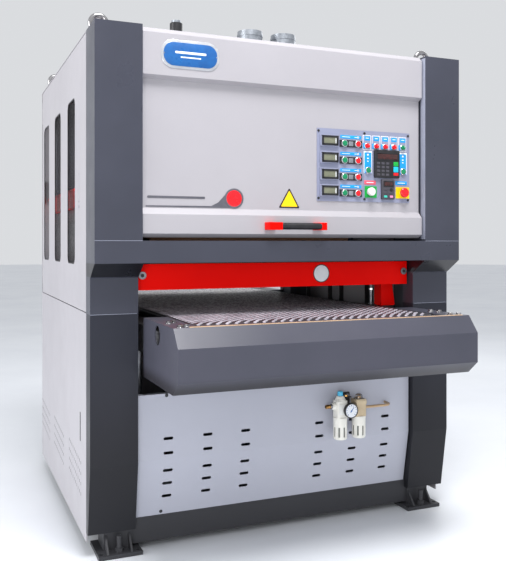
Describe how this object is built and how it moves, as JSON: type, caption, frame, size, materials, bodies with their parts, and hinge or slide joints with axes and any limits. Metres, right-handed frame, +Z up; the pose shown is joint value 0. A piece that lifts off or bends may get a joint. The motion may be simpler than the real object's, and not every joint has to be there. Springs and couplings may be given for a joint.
{
  "type": "wide-belt drum sander",
  "caption": "Free-standing sander with belt-fed height-adjustable table, contact drums with abrasive belts, lift-up front door and panel of push buttons.",
  "frame": {"origin": "floor level under the middle of the machine, the bottom centre of its box", "axes": "+X across the machine towards the control panel side, -Y towards the infeed operator, +Z up"},
  "size_m": [1.65, 2.282, 2.244],
  "materials": {
    "frame_paint": "semi-gloss enamel on welded steel",
    "column_paint": "semi-gloss slate grey enamel",
    "panel_paint": "semi-gloss light grey enamel",
    "red_paint": "gloss red enamel",
    "zinc": "zinc-plated steel",
    "chrome": "plated steel",
    "galvanised": "galvanised sheet",
    "table_steel": "ground steel",
    "feed_rubber": "rough-top rubber",
    "roller_rubber": "ground rubber cover",
    "roller_aluminium": "turned",
    "abrasive": "coated abrasive cloth",
    "motor_cast": "painted casting",
    "belt_rubber": "satin",
    "control_plate": "satin printed plate",
    "black_plastic": "moulded",
    "green_plastic": "moulded",
    "red_plastic": "moulded",
    "white_plastic": "moulded",
    "window_glass": "tinted clear sheet",
    "air_housing": "moulded",
    "air_tube": "extruded nylon tube"
  },
  "bodies": {
    "frame": {"frame_tubes": "frame_paint", "feet": "frame_paint", "anchor_bolts": "zinc", "upper_columns": "column_paint", "cross_beam": "column_paint", "lower_columns": "column_paint", "lower_front_panel": "panel_paint", "side_panels": "panel_paint", "top_cover": "panel_paint", "rear_panel": "panel_paint", "lifting_eyes": "chrome", "roof_ports": "galvanised", "hinge_pins": "zinc", "head_beams": "red_paint", "roller_hangers": "frame_paint", "abrasive_belts": "abrasive", "drive_motors": "motor_cast", "drive_belts": "belt_rubber", "lift_jacks": "frame_paint", "air_unit": "air_housing", "air_tube": "air_tube"},
    "door": {"front_door": "panel_paint", "control_plates": "control_plate", "panel_instruments": "black_plastic", "control_bases": "black_plastic", "door_handle": "black_plastic"},
    "left_door": {"side_door": "panel_paint", "side_windows": "window_glass"},
    "latch": {"side_latch": "black_plastic"},
    "table": {"table_noses": "column_paint", "table_bed": "table_steel", "feed_belt": "feed_rubber", "lift_screws": "zinc"},
    "drive_roller": {"feed_drive_roller": "roller_rubber"},
    "idler_roller": {"feed_idler_roller": "roller_rubber"},
    "bar": {"safety_bar": "red_paint"},
    "air_knob": {"regulator_knob": "black_plastic"},
    "drum_1": {"contact_drum_1": "roller_rubber"},
    "tension_1": {"tension_roller_1": "roller_aluminium"},
    "drum_2": {"contact_drum_2": "roller_rubber"},
    "tension_2": {"tension_roller_2": "roller_aluminium"},
    "drum_3": {"contact_drum_3": "roller_rubber"},
    "tension_3": {"tension_roller_3": "roller_aluminium"},
    "start_button_1": {"start_button_1": "green_plastic"},
    "start_button_2": {"start_button_2": "green_plastic"},
    "start_button_3": {"start_button_3": "green_plastic"},
    "start_button_4": {"start_button_4": "green_plastic"},
    "stop_button_1": {"stop_button_1": "red_plastic"},
    "stop_button_2": {"stop_button_2": "red_plastic"},
    "stop_button_3": {"stop_button_3": "red_plastic"},
    "stop_button_4": {"stop_button_4": "red_plastic"},
    "table_up_button": {"table_up_button": "green_plastic"},
    "table_down_button": {"table_down_button": "green_plastic"},
    "selector_1": {"selector_1": "red_plastic"},
    "selector_2": {"selector_2": "red_plastic"},
    "selector_3": {"selector_3": "red_plastic"},
    "selector_4": {"selector_4": "red_plastic"},
    "selector_5": {"selector_5": "green_plastic"},
    "reset_button": {"reset_button": "white_plastic"},
    "emergency_stop": {"emergency_stop": "red_plastic"}
  },
  "joints": [
    {"name": "front_door_lift", "type": "hinge", "parent": "frame", "child": "door", "pos_m": [0, -0.694, 2.047], "axis": [-1, 0, 0], "range_deg": [0, 85]},
    {"name": "side_door_swing", "type": "hinge", "parent": "frame", "child": "left_door", "pos_m": [-0.815, 0.745, 1.5], "axis": [0, 0, -1], "range_deg": [0, 95]},
    {"name": "side_latch_pull", "type": "hinge", "parent": "left_door", "child": "latch", "pos_m": [-0.8185, -0.426, 1.3985], "axis": [0, -1, 0], "range_deg": [0, 60], "stiffness_Nm_per_rad": 0.6},
    {"name": "table_lift", "type": "slide", "parent": "frame", "child": "table", "axis": [0, 0, 1], "range_m": [-0.055, 0.1]},
    {"name": "feed_drive_spin", "type": "hinge", "parent": "table", "child": "drive_roller", "pos_m": [0, 0.95, 0.857], "axis": [1, 0, 0], "continuous": true},
    {"name": "feed_idler_spin", "type": "hinge", "parent": "table", "child": "idler_roller", "pos_m": [0, -0.95, 0.857], "axis": [1, 0, 0], "continuous": true},
    {"name": "safety_bar_lift", "type": "slide", "parent": "frame", "child": "bar", "axis": [0, 0, 1], "range_m": [0, 0.008]},
    {"name": "regulator_turn", "type": "hinge", "parent": "frame", "child": "air_knob", "pos_m": [0.244, -0.701, 0.563], "axis": [0, 0, 1], "range_deg": [-360, 360]},
    {"name": "drum_1_spin", "type": "hinge", "parent": "frame", "child": "drum_1", "pos_m": [0, -0.226, 1.139], "axis": [1, 0, 0], "continuous": true},
    {"name": "tension_1_spin", "type": "hinge", "parent": "frame", "child": "tension_1", "pos_m": [0, -0.226, 1.837], "axis": [1, 0, 0], "continuous": true},
    {"name": "drum_2_spin", "type": "hinge", "parent": "frame", "child": "drum_2", "pos_m": [0, 0.1755, 1.139], "axis": [1, 0, 0], "continuous": true},
    {"name": "tension_2_spin", "type": "hinge", "parent": "frame", "child": "tension_2", "pos_m": [0, 0.1755, 1.837], "axis": [1, 0, 0], "continuous": true},
    {"name": "drum_3_spin", "type": "hinge", "parent": "frame", "child": "drum_3", "pos_m": [0, 0.577, 1.139], "axis": [1, 0, 0], "continuous": true},
    {"name": "tension_3_spin", "type": "hinge", "parent": "frame", "child": "tension_3", "pos_m": [0, 0.577, 1.837], "axis": [1, 0, 0], "continuous": true},
    {"name": "start_button_1_press", "type": "slide", "parent": "door", "child": "start_button_1", "axis": [0, 1, 0], "range_m": [0, 0.004], "stiffness_N_per_m": 400},
    {"name": "start_button_2_press", "type": "slide", "parent": "door", "child": "start_button_2", "axis": [0, 1, 0], "range_m": [0, 0.004], "stiffness_N_per_m": 400},
    {"name": "start_button_3_press", "type": "slide", "parent": "door", "child": "start_button_3", "axis": [0, 1, 0], "range_m": [0, 0.004], "stiffness_N_per_m": 400},
    {"name": "start_button_4_press", "type": "slide", "parent": "door", "child": "start_button_4", "axis": [0, 1, 0], "range_m": [0, 0.004], "stiffness_N_per_m": 400},
    {"name": "stop_button_1_press", "type": "slide", "parent": "door", "child": "stop_button_1", "axis": [0, 1, 0], "range_m": [0, 0.004], "stiffness_N_per_m": 400},
    {"name": "stop_button_2_press", "type": "slide", "parent": "door", "child": "stop_button_2", "axis": [0, 1, 0], "range_m": [0, 0.004], "stiffness_N_per_m": 400},
    {"name": "stop_button_3_press", "type": "slide", "parent": "door", "child": "stop_button_3", "axis": [0, 1, 0], "range_m": [0, 0.004], "stiffness_N_per_m": 400},
    {"name": "stop_button_4_press", "type": "slide", "parent": "door", "child": "stop_button_4", "axis": [0, 1, 0], "range_m": [0, 0.004], "stiffness_N_per_m": 400},
    {"name": "table_up_button_press", "type": "slide", "parent": "door", "child": "table_up_button", "axis": [0, 1, 0], "range_m": [0, 0.004], "stiffness_N_per_m": 400},
    {"name": "table_down_button_press", "type": "slide", "parent": "door", "child": "table_down_button", "axis": [0, 1, 0], "range_m": [0, 0.004], "stiffness_N_per_m": 400},
    {"name": "selector_1_turn", "type": "hinge", "parent": "door", "child": "selector_1", "pos_m": [0.365, -0.727, 1.646], "axis": [0, 1, 0], "range_deg": [-45, 45]},
    {"name": "selector_2_turn", "type": "hinge", "parent": "door", "child": "selector_2", "pos_m": [0.4107, -0.727, 1.646], "axis": [0, 1, 0], "range_deg": [-45, 45]},
    {"name": "selector_3_turn", "type": "hinge", "parent": "door", "child": "selector_3", "pos_m": [0.4564, -0.727, 1.646], "axis": [0, 1, 0], "range_deg": [-45, 45]},
    {"name": "selector_4_turn", "type": "hinge", "parent": "door", "child": "selector_4", "pos_m": [0.5021, -0.727, 1.646], "axis": [0, 1, 0], "range_deg": [-45, 45]},
    {"name": "selector_5_turn", "type": "hinge", "parent": "door", "child": "selector_5", "pos_m": [0.5478, -0.727, 1.646], "axis": [0, 1, 0], "range_deg": [-45, 45]},
    {"name": "reset_button_press", "type": "slide", "parent": "door", "child": "reset_button", "axis": [0, 1, 0], "range_m": [0, 0.004], "stiffness_N_per_m": 600},
    {"name": "emergency_stop_press", "type": "slide", "parent": "door", "child": "emergency_stop", "axis": [0, 1, 0], "range_m": [0, 0.004], "stiffness_N_per_m": 600}
  ],
  "couplings": [
    {"joint": "feed_idler_spin", "follows": "feed_drive_spin", "ratio": 1},
    {"joint": "tension_1_spin", "follows": "drum_1_spin", "ratio": 1.6634},
    {"joint": "tension_2_spin", "follows": "drum_2_spin", "ratio": 1.6634},
    {"joint": "tension_3_spin", "follows": "drum_3_spin", "ratio": 1.6634}
  ]
}
